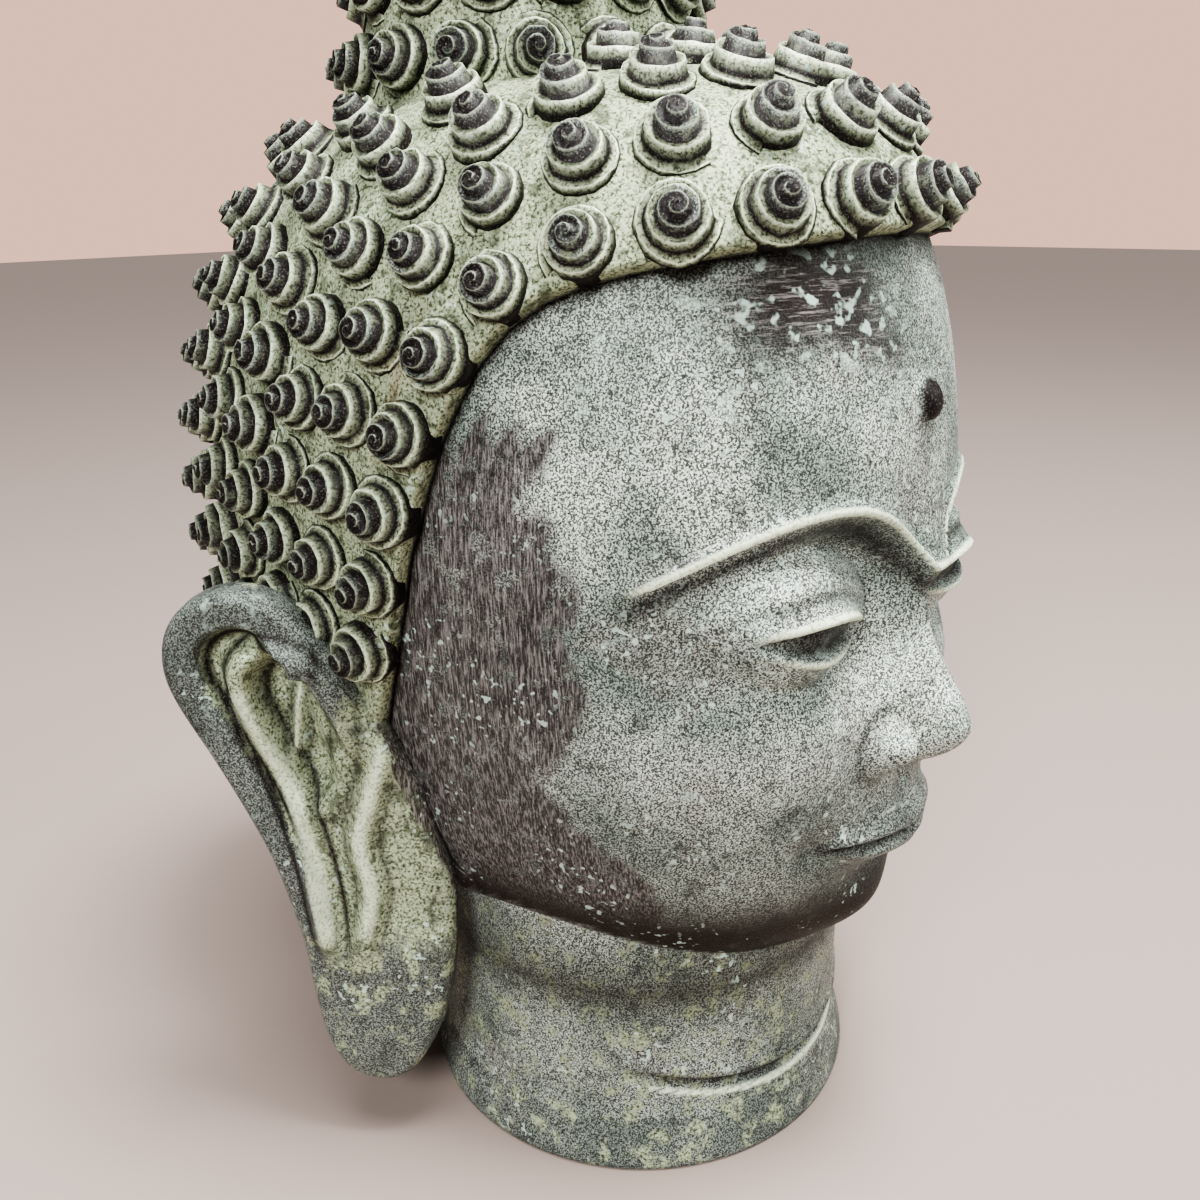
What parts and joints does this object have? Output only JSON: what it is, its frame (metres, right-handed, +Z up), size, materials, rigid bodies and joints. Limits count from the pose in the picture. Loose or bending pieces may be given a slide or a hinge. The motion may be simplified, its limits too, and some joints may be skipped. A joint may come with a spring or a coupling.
{
  "type": "metal buddha head",
  "caption": "Cast bronze buddha head on its own short round neck, with rows of snail-shell curls, a domed crown knot, long stretched ear lobes and a calm face with half-closed eyes.",
  "frame": {"origin": "centre of the neck's flat underside, which the head stands on", "axes": "+Z up, the face looks along -Y, +X is the head's own left"},
  "size_m": [0.1702, 0.1886, 0.259],
  "materials": {
    "cast_bronze": "patinated cast bronze, grey-green verdigris over dark brown metal, semi-matt"
  },
  "bodies": {
    "root": {"buddha_head": "cast_bronze"}
  },
  "joints": []
}
